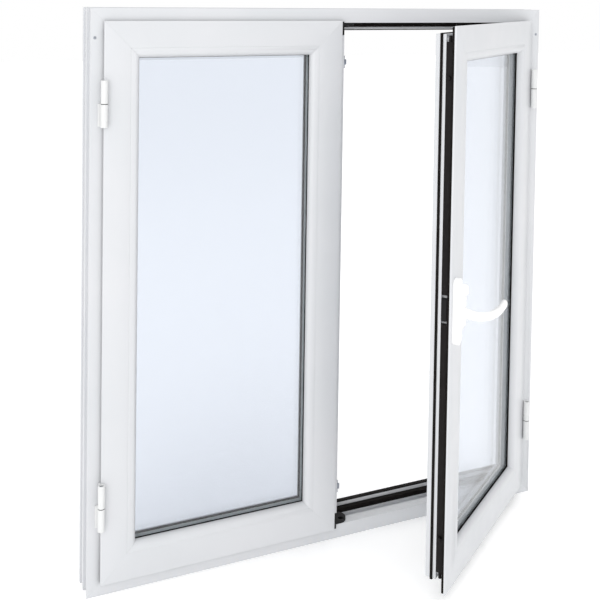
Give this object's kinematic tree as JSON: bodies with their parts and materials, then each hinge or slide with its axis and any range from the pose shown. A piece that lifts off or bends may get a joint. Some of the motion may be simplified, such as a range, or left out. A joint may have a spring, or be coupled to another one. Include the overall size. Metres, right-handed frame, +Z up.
{
  "type": "casement window",
  "caption": "Double-sash casement window that opens inwards, with glazed sashes on barrel hinges, a rebated frame and a turning handle that drives locking rods.",
  "frame": {"origin": "middle of the sill's underside, in width and in the frame's depth", "axes": "+Z up, +Y towards the outside, +X to the right seen from the room"},
  "size_m": [1.11, 0.4379, 1.2],
  "materials": {
    "white_profile": "smooth white powder coat on extruded profile",
    "white_handle": "white powder coat on die casting",
    "white_hinge": "white powder coat on extruded leaf",
    "white_plastic": "moulded",
    "black_rubber": "matte EPDM extrusion",
    "black_polyamide": "moulded",
    "black_rod": "black coated bar",
    "zinc_plated_steel": "zinc plated",
    "bare_aluminium": "mill finish",
    "spacer_bar": "satin spacer bar",
    "glass": "clear float glass"
  },
  "bodies": {
    "frame": {"frame_head": "white_profile", "frame_sill": "white_profile", "frame_left_jamb": "white_profile", "frame_right_jamb": "white_profile", "frame_corner_cleats": "bare_aluminium", "frame_cleat_screws": "zinc_plated_steel", "frame_centre_gasket": "black_rubber", "frame_leaf_seal": "black_rubber", "drain_caps": "white_plastic", "bolt_keepers": "black_polyamide", "hinge_pins": "zinc_plated_steel", "hinge_washers": "black_polyamide", "left_hinge_frame_leaves": "white_hinge", "right_hinge_frame_leaves": "white_hinge"},
    "left_sash": {"left_hinge_sash_leaves": "white_hinge", "left_hinge_bushes": "black_polyamide", "left_top_rail": "white_profile", "left_bottom_rail": "white_profile", "left_hinge_stile": "white_profile", "left_meeting_stile": "white_profile", "left_corner_cleats": "bare_aluminium", "left_beads": "white_profile", "left_inner_pane": "glass", "left_outer_pane": "glass", "left_spacer": "spacer_bar", "left_bead_gasket": "black_rubber", "left_outer_gasket": "black_rubber", "left_weather_seals": "black_rubber", "left_setting_blocks": "black_polyamide", "astragal": "white_profile", "astragal_gasket": "black_rubber", "astragal_end_caps": "black_polyamide", "astragal_keepers": "zinc_plated_steel"},
    "right_sash": {"right_hinge_sash_leaves": "white_hinge", "right_hinge_bushes": "black_polyamide", "right_top_rail": "white_profile", "right_bottom_rail": "white_profile", "right_hinge_stile": "white_profile", "right_meeting_stile": "white_profile", "right_corner_cleats": "bare_aluminium", "right_beads": "white_profile", "right_inner_pane": "glass", "right_outer_pane": "glass", "right_spacer": "spacer_bar", "right_bead_gasket": "black_rubber", "right_outer_gasket": "black_rubber", "right_weather_seals": "black_rubber", "right_setting_blocks": "black_polyamide", "handle_housing": "white_handle", "housing_screws": "zinc_plated_steel", "rod_guide": "black_polyamide"},
    "handle": {"handle_lever": "white_handle", "drive_pinion": "zinc_plated_steel"},
    "upper_rod": {"upper_rack": "zinc_plated_steel", "upper_drive_rod": "black_rod"},
    "lower_rod": {"lower_rack": "zinc_plated_steel", "lower_drive_rod": "black_rod"},
    "upper_bolt": {"upper_flush_bolt": "black_rod"},
    "lower_bolt": {"lower_flush_bolt": "black_rod"}
  },
  "joints": [
    {"name": "right_sash_swing", "type": "hinge", "parent": "frame", "child": "right_sash", "pos_m": [0.53, -0.0515, 0.6], "axis": [0, 0, 1], "range_deg": [-35, 60]},
    {"name": "left_sash_swing", "type": "hinge", "parent": "frame", "child": "left_sash", "pos_m": [-0.53, -0.0515, 0.6], "axis": [0, 0, -1], "range_deg": [0, 95]},
    {"name": "handle_turn", "type": "hinge", "parent": "right_sash", "child": "handle", "pos_m": [0.12022, -0.32928, 0.6], "axis": [-0.5736, 0.8192, 0], "range_deg": [0, 90]},
    {"name": "upper_rod_slide", "type": "slide", "parent": "right_sash", "child": "upper_rod", "axis": [0, 0, 1], "range_m": [0, 0.01257]},
    {"name": "lower_rod_slide", "type": "slide", "parent": "right_sash", "child": "lower_rod", "axis": [0, 0, -1], "range_m": [0, 0.01257]},
    {"name": "upper_bolt_slide", "type": "slide", "parent": "left_sash", "child": "upper_bolt", "axis": [0, 0, 1], "range_m": [0, 0.012]},
    {"name": "lower_bolt_slide", "type": "slide", "parent": "left_sash", "child": "lower_bolt", "axis": [0, 0, -1], "range_m": [0, 0.012]}
  ],
  "couplings": [
    {"joint": "upper_rod_slide", "follows": "handle_turn", "m_per_rad": 0.008},
    {"joint": "lower_rod_slide", "follows": "handle_turn", "m_per_rad": 0.008}
  ]
}
